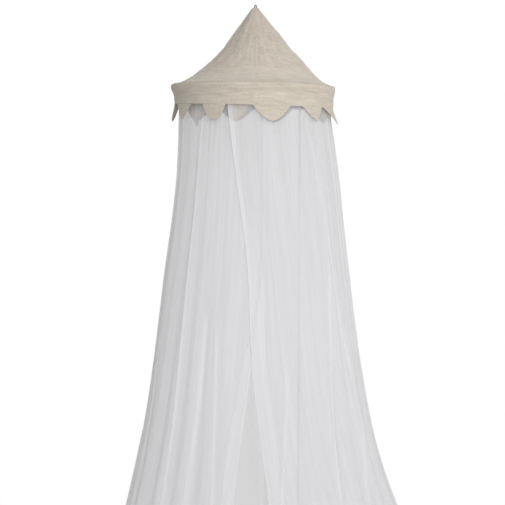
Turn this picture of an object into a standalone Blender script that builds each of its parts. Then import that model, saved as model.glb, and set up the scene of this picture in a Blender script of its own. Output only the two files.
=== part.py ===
"""A hanging bed canopy: a muslin cone stretched over a hoop, a band with scalloped flaps
below it, and a gathered net skirt that is parted at the front.

Metres, +Z up. The origin is where the hook bears inside the hanging loop, and the front
of the canopy faces -Y. Angles are in degrees round the canopy, 0 at the front and
positive towards +X. A drop is a distance below the origin.
"""

import math
from collections import namedtuple

import bmesh
import bpy


def table(columns, *rows):
    """A table as a list of rows whose values have the columns' names."""
    row_type = namedtuple("Row", columns)
    return [row_type(*row) for row in rows]


def column(rows, name):
    return [getattr(row, name) for row in rows]


# Driving sizes.
HOOP_RADIUS = 0.244  # to the middle of the tube
HOOP_TUBE_RADIUS = 0.004
HOOP_DROP = 0.249
HOOP_SHIFT = -0.0075  # the hoop hangs a little to the left of the tip
HOOP_TILT = 0.004  # how much lower its right side is, and higher its left
BAND_DEPTH = 0.0572  # from the middle of the hoop to the seam of the flaps
BAND_TILT = 0.0025  # how much deeper the band is on its right, and shallower on its left
BAND_SAG = 0.0065  # how much deeper it is in front, and shallower at the back
HEM_DROP = 1.65
MUSLIN_THICKNESS = 0.0015
FLAP_THICKNESS = 0.0018  # two layers of muslin, sewn and turned
NET_THICKNESS = 0.0014
SEAM_GAP = 0.0006  # between pieces that are sewn together
HOOP_GAP = 0.0007  # between the hoop and the cloth that lies on it

# The cloth lies on the hoop at this distance from the middle of the tube.
WRAP_RADIUS = HOOP_TUBE_RADIUS + HOOP_GAP + MUSLIN_THICKNESS / 2
SEAM_ANGLE = 44  # where cone and band meet on the tube, above its outermost point
SEAM_HALF_ANGLE = 4.2  # each stops this far short of it

# Steps of the meshes.
RING_STEPS = 60  # round the cone, the hoop and the band
TUBE_STEPS = 8
NET_STEPS = 122
FLAP_STEPS = 10
FLAP_ROWS = 3

# The middle surface of the cone, from its tip to just above the hoop.
CONE_PROFILE = table(
    "drop left right",
    (0.0066, 0.0062, 0.0060),
    (0.0080, 0.0092, 0.0086),
    (0.0137, 0.0138, 0.0128),
    (0.024, 0.0210, 0.0205),
    (0.060, 0.046, 0.049),
    (0.097, 0.073, 0.080),
    (0.134, 0.100, 0.108),
    (0.170, 0.135, 0.142),
    (0.200, 0.171, 0.169),
    (0.218, 0.194, 0.186),
    (0.230, 0.217, 0.200),
    (0.237, 0.234, 0.211),
)
CONE_WRAP_ANGLES = (105, 76, SEAM_ANGLE + SEAM_HALF_ANGLE)

# Soft folds of the cone, which run from its tip to the hoop.
CONE_FOLDS = table(
    "angle height half_width",
    (-132, 0.0030, 24),
    (-74, 0.0024, 17),
    (-31, 0.0018, 13),
    (8, 0.0016, 12),
    (38, 0.0030, 14),
    (69, 0.0024, 12),
    (118, 0.0030, 22),
    (171, 0.0034, 26),
)
CONE_FOLD_FADE = 0.7  # below 1, a fold keeps more of its height near the tip and the hoop

# The middle surface of the band, at shares of its depth below the middle of the hoop.
BAND_WRAP_ANGLES = (SEAM_ANGLE - SEAM_HALF_ANGLE, 18)
BAND_PROFILE = table(
    "share left right",
    (0.07, 0.2494, 0.2494),
    (0.21, 0.2472, 0.2486),
    (0.38, 0.2422, 0.2464),
    (0.67, 0.2392, 0.2444),
    (1.00, 0.2386, 0.2438),
)

# The flaps of the scalloped edge. The flare is how far the tip stands out from the band,
# and the lean is how much further its right side does than its left. A power of 1 makes a
# pointed flap and 2 a parabola, and the skew puts its tip off the middle, as a share of the
# half width. Two flaps are tucked in behind the net: they are inset from the band and hang
# from higher up inside it.
FLAPS = table(
    "angle half_width depth flare lean inset power skew",
    (13.4, 13.6, 0.0460, 0.004, 0.000, 0, 1.7, 0.0),
    (47.2, 10.2, 0.0420, 0.005, -0.002, 0, 1.25, 0.34),
    (77.5, 17.5, 0.0490, 0.015, 0.004, 0, 1.0, 0.34),
    (119.0, 14.4, 0.0430, 0.007, 0.000, 0, 1.5, -0.06),
    (163.5, 14.0, 0.0420, 0.005, 0.002, 0, 1.6, 0.04),
    (193.0, 14.4, 0.0420, 0.005, -0.002, 0, 1.45, 0.0),
    (226.0, 14.2, 0.0480, 0.006, 0.000, 0, 1.5, 0.05),
    (266.0, 13.0, 0.0505, 0.009, 0.003, 0, 1.9, -0.05),
    (298.9, 10.8, 0.0475, 0.005, 0.003, 0, 1.25, 0.05),
    (309.8, 8.2, 0.0880, 0.000, 0.000, 0.0206, 1.5, -0.08),
    (330.9, 9.2, 0.0460, 0.005, 0.002, 0, 2.5, 0.1),
    (350.0, 9.8, 0.0626, 0.0025, 0.000, 0.0142, 1.4, -0.4),
)
FLAP_SIDE = 0.002  # the height of a flap's two ends
FLARE_POWER = 1.3  # above 1, a flap curves outwards towards its tip

# The outline of the net, from under the hoop to its hem.
NET_OUTLINE = table(
    "drop left right front back",
    (0.262, 0.2400, 0.2330, 0.2290, 0.2360),
    (0.275, 0.2365, 0.2302, 0.2245, 0.2335),
    (0.295, 0.2335, 0.2290, 0.2216, 0.2318),
    (0.320, 0.2322, 0.2290, 0.2214, 0.2310),
    (0.356, 0.2325, 0.2312, 0.2240, 0.2320),
    (0.425, 0.2335, 0.2405, 0.2335, 0.2390),
    (0.530, 0.2385, 0.2540, 0.2460, 0.2480),
    (0.660, 0.2520, 0.2660, 0.2585, 0.2600),
    (0.800, 0.2700, 0.2800, 0.2745, 0.2740),
    (0.950, 0.2870, 0.2960, 0.2905, 0.2890),
    (1.100, 0.3050, 0.3160, 0.3070, 0.3060),
    (1.240, 0.3240, 0.3400, 0.3245, 0.3260),
    (1.370, 0.3490, 0.3700, 0.3450, 0.3480),
    (1.470, 0.3700, 0.4020, 0.3640, 0.3680),
    (1.560, 0.3920, 0.4360, 0.3860, 0.3900),
    (HEM_DROP, 0.4160, 0.4700, 0.4100, 0.4120),
)

# The two free edges of the net. The right panel laps over the left one, outside it by the
# lap, down to about 1.05 m, and below that the panels part.
PARTING = table(
    "drop left_edge right_edge lap",
    (0.262, 9.0, -21.4, 0.0090),
    (0.310, 8.5, -20.8, 0.0120),
    (0.550, 7.0, -12.3, 0.0100),
    (0.710, 5.5, -6.7, 0.0090),
    (0.840, 3.2, -4.0, 0.0080),
    (1.000, -0.4, -2.9, 0.0080),
    (1.110, -2.6, -1.4, 0.0070),
    (1.240, -4.4, 1.4, 0.0050),
    (1.370, -5.6, 4.2, 0.0040),
    (1.520, -7.2, 7.2, 0.0020),
    (HEM_DROP, -8.6, 9.4, 0.0),
)
LAP_REACH = 95  # degrees over which the outer panel comes back to the common outline

# The folds of the net. A fold drifts from its angle at the hoop to its angle at the hem.
NET_FOLDS = table(
    "top_angle hem_angle height half_width",
    (-19, -15, 0.006, 6.0),
    (-27, -24, 0.013, 6.0),
    (-33, -37, 0.018, 7.5),
    (-42, -50, 0.020, 7.0),
    (-54, -65, 0.015, 8.0),
    (-69, -80, 0.021, 9.0),
    (-86, -97, 0.018, 9.5),
    (-104, -113, 0.023, 9.0),
    (-121, -130, 0.019, 9.5),
    (-138, -145, 0.024, 8.5),
    (-153, -160, 0.018, 8.0),
    (-168, -175, 0.022, 8.5),
    (-184, -190, 0.017, 7.5),
    (-199, -204, 0.023, 7.5),
    (-214, -217, 0.018, 7.0),
    (-228, -229, 0.021, 7.0),
    (-242, -243, 0.018, 8.0),
    (-258, -260, 0.024, 9.5),
    (-276, -280, 0.018, 9.0),
    (-292, -297, 0.022, 8.0),
    (-307, -311, 0.017, 7.0),
    (-319, -323, 0.021, 7.0),
    (-332, -334, 0.016, 6.5),
    (-343, -345, 0.011, 5.5),
)
FOLD_TOP_SHARE = 0.13  # of its height at the hem, which a fold has under the hoop
FOLD_GROWTH = 1.15
GATHER_COUNT = 40
GATHER_HEIGHT = 0.0009

# The hanging loop, as half-widths of its cord's centreline at each drop.
CORD_RADIUS = 0.0015
LOOP_TURN = 60  # from facing the front
LOOP_OUTLINE = table(
    "drop half_width",
    (-0.0015, 0.0),
    (-0.0009, 0.0025),
    (0.0007, 0.0049),
    (0.0030, 0.0055),
    (0.0056, 0.0044),
    (0.0080, 0.0024),
    (0.0105, 0.0021),
    (0.0190, 0.0021),
    (0.0206, 0.0015),
    (0.0212, 0.0),
)


def along(places, values, place):
    """The value at a place, on a smooth curve through a table's values."""
    if place <= places[0]:
        return values[0]
    if place >= places[-1]:
        return values[-1]
    k = next(i for i in range(len(places) - 1) if place <= places[i + 1])

    def slope(i):
        low, high = max(i - 1, 0), min(i + 1, len(places) - 1)
        return (values[high] - values[low]) / (places[high] - places[low])

    span = places[k + 1] - places[k]
    t = (place - places[k]) / span
    return (
        (2 * t**3 - 3 * t**2 + 1) * values[k]
        + (t**3 - 2 * t**2 + t) * span * slope(k)
        + (3 * t**2 - 2 * t**3) * values[k + 1]
        + (t**3 - t**2) * span * slope(k + 1)
    )


def smooth(t):
    """0 to 1 with flat ends."""
    t = min(1.0, max(0.0, t))
    return t * t * (3 - 2 * t)


def around(angle, radius, drop, shift=0.0):
    """The point at an angle, a radius and a drop, about an axis shifted to the right."""
    a = math.radians(angle)
    return (shift + radius * math.sin(a), -radius * math.cos(a), -drop)


def apart(a, b):
    """The difference of two angles, from -180 to 180."""
    return (a - b + 180) % 360 - 180


def crest(offset):
    """A rounded ridge: 1 in its middle, 0 from 1 on either side."""
    return 0.5 + 0.5 * math.cos(math.pi * offset) if abs(offset) < 1 else 0.0


def side_mix(angle, left, right):
    """Blends a left and a right value round the canopy."""
    share = 0.5 + 0.5 * math.sin(math.radians(angle))
    return left + (right - left) * smooth(share)


def cloth_material(name, colour, roughness=0.9):
    found = bpy.data.materials.new(name)
    found.use_nodes = True
    shader = found.node_tree.nodes["Principled BSDF"]
    shader.inputs["Base Color"].default_value = (*colour, 1)
    shader.inputs["Roughness"].default_value = roughness
    shader.inputs["Metallic"].default_value = 0
    return found


def sheet(name, rows, closed, thickness, material):
    """A sheet of cloth through rows of points, with its thickness about that surface."""
    mesh = bpy.data.meshes.new(name)
    build = bmesh.new()
    grid = [[build.verts.new(point) for point in row] for row in rows]
    steps = len(rows[0])
    for upper, lower in zip(grid, grid[1:]):
        for i in range(steps if closed else steps - 1):
            j = (i + 1) % steps
            build.faces.new((upper[i], lower[i], lower[j], upper[j]))
    bmesh.ops.recalc_face_normals(build, faces=build.faces)
    build.to_mesh(mesh)
    build.free()
    mesh.materials.append(material)
    mesh.shade_smooth()
    made = bpy.data.objects.new(name, mesh)
    bpy.context.scene.collection.objects.link(made)
    solidify = made.modifiers.new("thickness", "SOLIDIFY")
    solidify.thickness = thickness
    solidify.offset = 0
    return made


def hoop_drop(angle):
    return HOOP_DROP + HOOP_TILT * math.sin(math.radians(angle))


def on_hoop(angle, wrap_angle):
    """A point of cloth that lies on the hoop, at an angle round its tube."""
    a = math.radians(wrap_angle)
    radius = HOOP_RADIUS + WRAP_RADIUS * math.cos(a)
    return around(angle, radius, hoop_drop(angle) - WRAP_RADIUS * math.sin(a), HOOP_SHIFT)


def make_hoop(material):
    bpy.ops.mesh.primitive_torus_add(
        major_radius=HOOP_RADIUS,
        minor_radius=HOOP_TUBE_RADIUS,
        major_segments=RING_STEPS,
        minor_segments=TUBE_STEPS,
        location=(HOOP_SHIFT, 0, -HOOP_DROP),
        rotation=(0, math.asin(HOOP_TILT / HOOP_RADIUS), 0),
    )
    hoop = bpy.context.object
    hoop.name = hoop.data.name = "hoop"
    hoop.data.shade_smooth()
    hoop.data.materials.append(material)


def cone_fold(angle, drop):
    """How far the cone's folds lift it at a point. They fade out at the tip and the hoop."""
    share = drop / HOOP_DROP
    fade = math.sin(math.pi * min(1.0, share)) ** CONE_FOLD_FADE
    lift = sum(
        fold.height * crest(apart(angle, fold.angle) / fold.half_width) for fold in CONE_FOLDS
    )
    return lift * fade


def make_cone(material):
    rows = []
    angles = [360 * i / RING_STEPS for i in range(RING_STEPS)]
    for level in CONE_PROFILE:
        row = []
        for angle in angles:
            radius = side_mix(angle, level.left, level.right) + cone_fold(angle, level.drop)
            row.append(around(angle, radius, level.drop))
        rows.append(row)
    for wrap_angle in CONE_WRAP_ANGLES:
        rows.append([on_hoop(angle, wrap_angle) for angle in angles])
    sheet("cone_top", rows, True, MUSLIN_THICKNESS, material)


def band_depth(angle):
    """How far the seam of the flaps is below the middle of the hoop."""
    a = math.radians(angle)
    return BAND_DEPTH + BAND_TILT * math.sin(a) + BAND_SAG * math.cos(a)


def band_radius(angle, share):
    """Radius of the band's middle surface at a share of its depth."""
    places = column(BAND_PROFILE, "share")
    left = along(places, column(BAND_PROFILE, "left"), share)
    right = along(places, column(BAND_PROFILE, "right"), share)
    return side_mix(angle, left, right)


def make_band(material):
    angles = [360 * i / RING_STEPS for i in range(RING_STEPS)]
    rows = []
    for wrap_angle in BAND_WRAP_ANGLES:
        rows.append([on_hoop(angle, wrap_angle) for angle in angles])
    for share in column(BAND_PROFILE, "share"):
        row = []
        for angle in angles:
            drop = hoop_drop(angle) + band_depth(angle) * share
            row.append(around(angle, band_radius(angle, share), drop, HOOP_SHIFT))
        rows.append(row)
    sheet("band", rows, True, MUSLIN_THICKNESS, material)


def make_flap(number, flap, material):
    """One flap of the scalloped edge, sewn to the band along its straight top."""
    rows = []
    for k in range(FLAP_ROWS + 1):
        row = []
        for i in range(FLAP_STEPS + 1):
            across = 2 * i / FLAP_STEPS - 1
            reach = 1 - flap.skew if across > flap.skew else 1 + flap.skew
            side = abs(across - flap.skew) / reach
            height = max(FLAP_SIDE, flap.depth * (1 - side**flap.power))
            below = height * k / FLAP_ROWS
            angle = flap.angle + across * flap.half_width
            top = hoop_drop(angle) + band_depth(angle) + SEAM_GAP - flap.inset
            tip_out = flap.flare + flap.lean * across
            outward = tip_out * (below / flap.depth) ** FLARE_POWER - flap.inset
            radius = band_radius(angle, 1) + outward
            row.append(around(angle, radius, top + below, HOOP_SHIFT))
        rows.append(row)
    sheet(f"flap_{number:02d}", rows, False, FLAP_THICKNESS, material)


def net_outline(angle, drop):
    """Radius of the net without its folds: a blend of its four sides."""
    places = column(NET_OUTLINE, "drop")
    a = math.radians(angle)
    weights = {
        "right": max(0.0, math.sin(a)) ** 2,
        "left": max(0.0, -math.sin(a)) ** 2,
        "front": max(0.0, math.cos(a)) ** 2,
        "back": max(0.0, -math.cos(a)) ** 2,
    }
    return sum(
        weight * along(places, column(NET_OUTLINE, side), drop)
        for side, weight in weights.items()
        if weight
    )


def parting(name, drop):
    """A column of the parting's table, read at any drop."""
    return along(column(PARTING, "drop"), column(PARTING, name), drop)


def net_folds(angle, drop):
    """How far the folds lift the net at a point. They grow from the hoop to the hem."""
    top_drop = NET_OUTLINE[0].drop
    share = (drop - top_drop) / (HEM_DROP - top_drop)
    growth = FOLD_TOP_SHARE + (1 - FOLD_TOP_SHARE) * share**FOLD_GROWTH
    lift = 0.0
    for fold in NET_FOLDS:
        middle = fold.top_angle + (fold.hem_angle - fold.top_angle) * smooth(share)
        lift += fold.height * growth * crest(apart(angle, middle) / fold.half_width)
    gathers = GATHER_HEIGHT * (1 - share) * math.sin(math.radians(GATHER_COUNT * angle))
    return lift + gathers


def make_net(material):
    rows = []
    for drop in column(NET_OUTLINE, "drop"):
        left_edge, right_edge = parting("left_edge", drop), parting("right_edge", drop)
        lap = parting("lap", drop)
        turn = 360 + left_edge - right_edge  # the angle that the net goes through
        row = []
        for i in range(NET_STEPS + 1):
            went = turn * i / NET_STEPS
            angle = left_edge - went
            outside = lap * (1 - smooth((turn - went) / LAP_REACH))
            radius = net_outline(angle, drop) + net_folds(angle, drop) + outside
            row.append(around(angle, radius, drop))
        rows.append(row)
    sheet("net", rows, False, NET_THICKNESS, material)


def make_loop(material):
    """The cord loop that the canopy hangs by. Its foot is held inside the cone's tip."""
    right = [(level.half_width, -level.drop) for level in LOOP_OUTLINE]
    left = [(-x, z) for x, z in reversed(right[1:-1])]
    curve = bpy.data.curves.new("hanging_loop", "CURVE")
    curve.dimensions = "3D"
    curve.bevel_depth = CORD_RADIUS
    curve.bevel_resolution = 2
    curve.resolution_u = 3
    spline = curve.splines.new("BEZIER")
    spline.bezier_points.add(len(right) + len(left) - 1)
    turn = math.radians(LOOP_TURN)
    for point, (x, z) in zip(spline.bezier_points, right + left):
        point.co = (x * math.cos(turn), -x * math.sin(turn), z)
        point.handle_left_type = point.handle_right_type = "AUTO"
    spline.use_cyclic_u = True
    curve.materials.append(material)
    loop = bpy.data.objects.new("hanging_loop", curve)
    bpy.context.scene.collection.objects.link(loop)


def clear_scene():
    for found in list(bpy.data.objects):
        bpy.data.objects.remove(found)


def main():
    clear_scene()
    muslin = cloth_material("muslin", (0.60, 0.54, 0.46))
    net_cloth = cloth_material("net_cloth", (0.78, 0.77, 0.79))
    cord = cloth_material("cord", (0.52, 0.50, 0.47))
    plastic = cloth_material("hoop_plastic", (0.80, 0.79, 0.76), 0.5)
    make_loop(cord)
    make_cone(muslin)
    make_hoop(plastic)
    make_band(muslin)
    for number, flap in enumerate(FLAPS, 1):
        make_flap(number, flap, muslin)
    make_net(net_cloth)


main()
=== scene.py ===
import math

import bpy
import numpy as np
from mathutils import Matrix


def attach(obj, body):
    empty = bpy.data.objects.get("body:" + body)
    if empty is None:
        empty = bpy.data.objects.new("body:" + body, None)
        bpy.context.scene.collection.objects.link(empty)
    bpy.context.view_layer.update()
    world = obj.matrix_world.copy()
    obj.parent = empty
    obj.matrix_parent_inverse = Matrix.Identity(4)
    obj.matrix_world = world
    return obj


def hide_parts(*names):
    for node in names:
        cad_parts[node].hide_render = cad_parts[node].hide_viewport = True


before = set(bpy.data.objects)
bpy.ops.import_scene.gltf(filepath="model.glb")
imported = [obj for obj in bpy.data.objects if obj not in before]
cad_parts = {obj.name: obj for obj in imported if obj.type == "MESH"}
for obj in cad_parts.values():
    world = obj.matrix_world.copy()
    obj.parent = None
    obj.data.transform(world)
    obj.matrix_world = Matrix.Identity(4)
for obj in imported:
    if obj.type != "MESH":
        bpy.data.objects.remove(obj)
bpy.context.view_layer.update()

# A hanging bed canopy: muslin cone, band and flaps over a hoop, and a parted net skirt.
# Metres, +Z up, the front faces -Y. Angles are degrees round it, 0 in front, positive
# towards +X. A drop is a distance below the hanging loop.

scene = bpy.context.scene


# small helpers for tables, curves and noise

def table(columns, *rows):
    # one array for each named column
    return dict(zip(columns.split(), np.array(rows, float).T))


def along(places, values, at):
    # a smooth curve through a table's values
    low = np.concatenate(([0], np.arange(len(places) - 1)))
    high = np.concatenate((np.arange(1, len(places)), [len(places) - 1]))
    slopes = (values[high] - values[low]) / (places[high] - places[low])
    at = np.clip(at, places[0], places[-1])
    k = np.clip(np.searchsorted(places, at) - 1, 0, len(places) - 2)
    span = places[k + 1] - places[k]
    t = (at - places[k]) / span
    rise = (3 - 2 * t) * t * t
    return (
        (1 - rise) * values[k]
        + rise * values[k + 1]
        + (t**3 - 2 * t**2 + t) * span * slopes[k]
        + (t**3 - t**2) * span * slopes[k + 1]
    )


def smooth(t):
    t = np.clip(t, 0, 1)
    return t * t * (3 - 2 * t)


def fadeIn(at, span):
    # 0 up to the span's start, and 1 from its length further on
    start, length = span
    return smooth((at - start) / length)


def crest(offset):
    # a rounded ridge, 1 in its middle and 0 from 1 on either side
    return np.where(np.abs(offset) < 1, 0.5 + 0.5 * np.cos(np.pi * offset), 0)


def apart(a, b):
    # degrees from b round to a, from -180 to 180
    return (a - b + 180) % 360 - 180


def around(angle, radius, drop, shift=0.0):
    a = np.radians(angle)
    angle, radius, drop = np.broadcast_arrays(a, radius, drop)
    return np.stack((shift + radius * np.sin(angle), -radius * np.cos(angle), -drop), -1)


def ringAngles(columns):
    return np.arange(columns)[None] * 360 / columns


def profileRadius(levels, angle, at):
    # between the outlines of the left and right side, which a table gives for some places
    places, left, right = levels.values()
    left, right = along(places, left, at), along(places, right, at)
    return left + (right - left) * smooth(0.5 + 0.5 * np.sin(np.radians(angle)))


def cloudNoise(x, y, seed, turn):
    # soft noise from -1 to 1 in cells of one unit, which closes after a turn along x
    depth = 256
    grid = np.random.default_rng(seed).uniform(-1, 1, (turn, depth))
    x, y = np.broadcast_arrays(x, y)
    column, row = np.floor(x).astype(int), np.floor(y).astype(int)
    fx, fy = smooth(x - column), smooth(y - row)
    here, after = column % turn, (column + 1) % turn
    upper, lower = row % depth, (row + 1) % depth
    top = grid[here, upper] * (1 - fx) + grid[after, upper] * fx
    bottom = grid[here, lower] * (1 - fx) + grid[after, lower] * fx
    return top * (1 - fy) + bottom * fy


# small helpers for meshes

def addObject(name, data):
    made = bpy.data.objects.new(name, data)
    scene.collection.objects.link(made)
    return made


def gridPiece(name, points, across, down, material, closed=False, **values):
    # cloth as a grid: rows go down it, and columns round it towards the right
    rows, columns = points.shape[:2]
    steps = columns if closed else columns - 1
    r, c = np.mgrid[0 : rows - 1, 0:steps].reshape(2, -1)
    corners = [(r, c), (r + 1, c), (r + 1, c + 1), (r, c + 1)]
    faces = np.stack([i * columns + j % columns for i, j in corners], -1)
    mesh = bpy.data.meshes.new(name)
    mesh.from_pydata(points.reshape(-1, 3).tolist(), [], faces.tolist())
    if closed:
        across = np.concatenate((across, 2 * across[:, -1:] - across[:, -2:-1]), 1)
        down = np.concatenate((down, down[:, :1]), 1)
    spots = [np.stack((across[i, j], -down[i, j]), -1) for i, j in corners]
    layer = mesh.uv_layers.new(name="cloth")
    layer.data.foreach_set("uv", np.stack(spots, 1).ravel())
    for label, value in values.items():
        layer = mesh.attributes.new(label, "FLOAT", "POINT")
        layer.data.foreach_set("value", np.broadcast_to(value, (rows, columns)).ravel())
    mesh.materials.append(material)
    mesh.shade_smooth()
    return addObject(name, mesh)


def plainMesh(piece):
    # the piece as its modifiers leave it
    evaluated = piece.evaluated_get(bpy.context.evaluated_depsgraph_get())
    mesh = bpy.data.meshes.new_from_object(evaluated)
    name = piece.name
    bpy.data.objects.remove(piece)
    mesh.name = name
    mesh.shade_smooth()
    return addObject(name, mesh)


def thicken(piece, thickness):
    # half of the thickness goes to either side of the cloth
    wall = piece.modifiers.new("thickness", "SOLIDIFY")
    wall.thickness = thickness
    wall.offset = 0
    return plainMesh(piece)


def outwards(points):
    # unit normals of a grid of points
    down = np.gradient(points, axis=0)
    right = np.gradient(points, axis=1)
    normals = np.cross(down, right)
    return normals / np.maximum(np.linalg.norm(normals, axis=-1, keepdims=True), 1e-12)


def lifted(points, height):
    # a grid of points moved out along its normals
    return points + outwards(points) * np.expand_dims(height, -1)


# shader and geometry trees

class Wire:
    # a socket that sums can be written with: each operator adds a Math node
    def __init__(self, tree, socket=None):
        self.tree = tree
        self.socket = socket

    def node(self, kind, settings=None, inputs=None, output=0):
        # any other node: its settings come first, then the values or links of its sockets
        made = self.tree.nodes.new(kind)
        for name, value in (settings or {}).items():
            setattr(made, name, value)
        for name, value in (inputs or {}).items():
            if isinstance(value, Wire):
                self.tree.links.new(value.socket, made.inputs[name])
            else:
                made.inputs[name].default_value = value
        return Wire(self.tree, made.outputs[output])

    def math(self, operation, *values):
        return self.node("ShaderNodeMath", {"operation": operation}, dict(enumerate(values)))

    def vector(self, operation, *values, output=0):
        settings = {"operation": operation}
        return self.node("ShaderNodeVectorMath", settings, dict(enumerate(values)), output)

    def __add__(self, other):
        return self.math("ADD", self, other)

    def __sub__(self, other):
        return self.math("SUBTRACT", self, other)

    def __rsub__(self, other):
        return self.math("SUBTRACT", other, self)

    def __mul__(self, other):
        return self.math("MULTIPLY", self, other)

    def __truediv__(self, other):
        return self.math("DIVIDE", self, other)

    __radd__ = __add__
    __rmul__ = __mul__


def newMaterial(name, constants):
    # a principled material, with what is the same all over set on its sockets
    material = bpy.data.materials.new(name)
    material.use_nodes = True
    shader = material.node_tree.nodes["Principled BSDF"]
    for label, value in constants.items():
        shader.inputs[label].default_value = value
    return material, shader, Wire(material.node_tree)


def feed(shader, label, wire):
    wire.tree.links.new(wire.socket, shader.inputs[label])


def feedColour(shader, share, look):
    ends = {0: share, 6: look["dark"], 7: look["light"]}
    feed(shader, "Base Color", share.node("ShaderNodeMix", {"data_type": "RGBA"}, ends, 2))


def feedBump(shader, strength, distance, height):
    sockets = {"Strength": strength, "Distance": distance, "Height": height}
    feed(shader, "Normal", height.node("ShaderNodeBump", None, sockets))


def attribute(start, name):
    # one of the numbers that a piece's points carry
    return start.node("ShaderNodeAttribute", {"attribute_name": name}, output=2)


def stretched(start, across, down):
    # the cloth's own map in metres, in cells of this many metres
    spot = start.node("ShaderNodeUVMap", {"uv_map": "cloth"})
    return spot.vector("MULTIPLY", spot, (1 / across, 1 / down, 1))


def noiseOn(start, across, down, detail):
    spot = stretched(start, across, down)
    sockets = {"Vector": spot, "Scale": 1.0, "Detail": detail}
    return start.node("ShaderNodeTexNoise", {"noise_dimensions": "2D"}, sockets)


def solidNoise(start, scale, detail=2.0):
    place = start.node("ShaderNodeTexCoord", output=3)
    sockets = {"Vector": place, "Scale": scale, "Detail": detail}
    return start.node("ShaderNodeTexNoise", None, sockets)


# camera, light and floor

viewPlan = {
    "distance": 6.0,  # in front of the loop
    "side": -0.0092,
    "height": -0.6165,
    "pitch": -1.28,  # degrees, down
    "focalPixels": 1967,
    "framePixels": 505,
    "sensor": 36.0,
}


def makeCamera():
    plan = viewPlan
    data = bpy.data.cameras.new("camera")
    data.sensor_width = plan["sensor"]
    data.lens = plan["focalPixels"] * plan["sensor"] / plan["framePixels"]
    camera = addObject("camera", data)
    camera.location = (plan["side"], -plan["distance"], plan["height"])
    camera.rotation_euler = (math.radians(90 + plan["pitch"]), 0, 0)
    scene.camera = camera


lightPlan = {
    "backdrop": 1.0,  # as the camera sees it
    "ambient": 0.545,  # the studio's own light
    "slope": 0.36,  # how much brighter the studio is towards its bright side
    "brightAzimuth": 50,
    "brightElevation": 14,
    "behind": 0.35,  # how much brighter it is straight behind the canopy
    "keyAzimuth": 10,  # degrees to the right of the camera
    "keyElevation": 11,
    "keyDistance": 5.0,
    "keySize": 3.6,
    "keyPower": 68,
    "middle": -0.7,  # the height that the key light points at
    "floorDrop": 1.7,
    "floorRadius": 1.0,
    "floorFade": 0.6,  # where it starts to fade, as a share of the radius
    "floorColour": (0.86, 0.86, 0.85, 1),
    "floorGlow": 0.05,
    "sheerLayers": 48,  # of see-through cloth in a row, along the net's sides
}


def towardsLight(azimuth, elevation):
    turn, rise = math.radians(azimuth), math.radians(elevation)
    flat = math.cos(rise)
    return np.array((math.sin(turn) * flat, -math.cos(turn) * flat, math.sin(rise)))


def makeLight():
    plan = lightPlan
    scene.view_settings.view_transform = "Standard"
    scene.cycles.transparent_max_bounces = plan["sheerLayers"]
    world = bpy.data.worlds.new("studio")
    world.use_nodes = True
    scene.world = world
    start = Wire(world.node_tree)
    seen = start.node("ShaderNodeLightPath")
    bright = towardsLight(plan["brightAzimuth"], plan["brightElevation"])
    direction = start.node("ShaderNodeTexCoord")
    towards = start.vector("DOT_PRODUCT", direction, bright, output=1)
    behind = start.node("ShaderNodeSeparateXYZ", None, {0: direction}, 1)
    behind = behind.math("MAXIMUM", behind, 0)
    soft = towards * plan["slope"] + behind * behind * plan["behind"] + plan["ambient"]
    strength = seen * plan["backdrop"] + (1 - seen) * soft
    backdrop = world.node_tree.nodes["Background"]
    backdrop.inputs["Color"].default_value = (1, 1, 1, 1)
    feed(backdrop, "Strength", strength)
    data = bpy.data.lights.new("key", "AREA")
    data.shape = "DISK"
    data.size = plan["keySize"]
    data.energy = plan["keyPower"]
    key = addObject("key", data)
    turn, rise = plan["keyAzimuth"], plan["keyElevation"]
    away = plan["keyDistance"] * towardsLight(turn, rise)
    key.location = away + (0, 0, plan["middle"])
    key.rotation_euler = (math.radians(90 - rise), 0, math.radians(turn))


def makeFloor():
    plan = lightPlan
    radius, middle = plan["floorRadius"], (0, 0, -plan["floorDrop"])
    bpy.ops.mesh.primitive_circle_add(vertices=96, radius=radius, fill_type="NGON", location=middle)
    floor = bpy.context.object
    floor.name = "floor"
    constants = {"Base Color": plan["floorColour"], "Roughness": 0.8}
    constants.update({"Emission Color": (1, 1, 1, 1), "Emission Strength": plan["floorGlow"]})
    material, shader, start = newMaterial("pale floor", constants)
    place = start.node("ShaderNodeTexCoord", output=3)
    share = start.vector("LENGTH", place, output=1) / radius
    fade = (1 - share) / (1 - plan["floorFade"])
    feed(shader, "Alpha", fade.math("MINIMUM", fade.math("MAXIMUM", fade, 0), 1))
    floor.data.materials.append(material)


# muslin: crinkled double cotton, undyed

muslinPlan = {
    "light": (0.725, 0.655, 0.562, 1),
    "dark": (0.545, 0.482, 0.4, 1),
    "tone": 0.58,  # between dark and light
    "paintedRidgeLight": 0.26,  # painted light on the ridges' tops and painted shade in the hollows between them
    "bumpHeight": 0.0011,
    # metres to a cell across and down, detail, share in the tone and in the height
    "noises": (
        (0.020, 0.0012, 2, 0.5, 0.3),  # weft
        (0.0012, 0.020, 2, 0.35, 0.25),  # warp
        (0.07, 0.05, 3, 0.5, 0),  # clouds
        (0.0065, 0.0048, 2, 0.7, 0.8),  # grain
        (0.056, 0.0046, 3, 1.1, 1.6),  # creases, whose tone share paints shade where they are low and light where they are high
    ),
}


def muslinMaterial():
    plan = muslinPlan
    material, shader, start = newMaterial("muslin", {"Roughness": 0.92, "Sheen Weight": 0.12})
    tone, height = plan["tone"], 0
    for across, down, detail, toneShare, heightShare in plan["noises"]:
        noise = noiseOn(start, across, down, detail)
        tone = (noise - 0.5) * toneShare + tone
        height = noise * heightShare + height
    # painted light on the ridges and painted shade in their hollows, then each piece's own painted
    # shade and light
    tone = tone + attribute(start, "crease") * plan["paintedRidgeLight"] - attribute(start, "edge")
    feedColour(shader, tone, plan)
    feedBump(shader, 0.9, plan["bumpHeight"], height)
    return material


# where the hoop hangs, and the cloth on it

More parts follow.
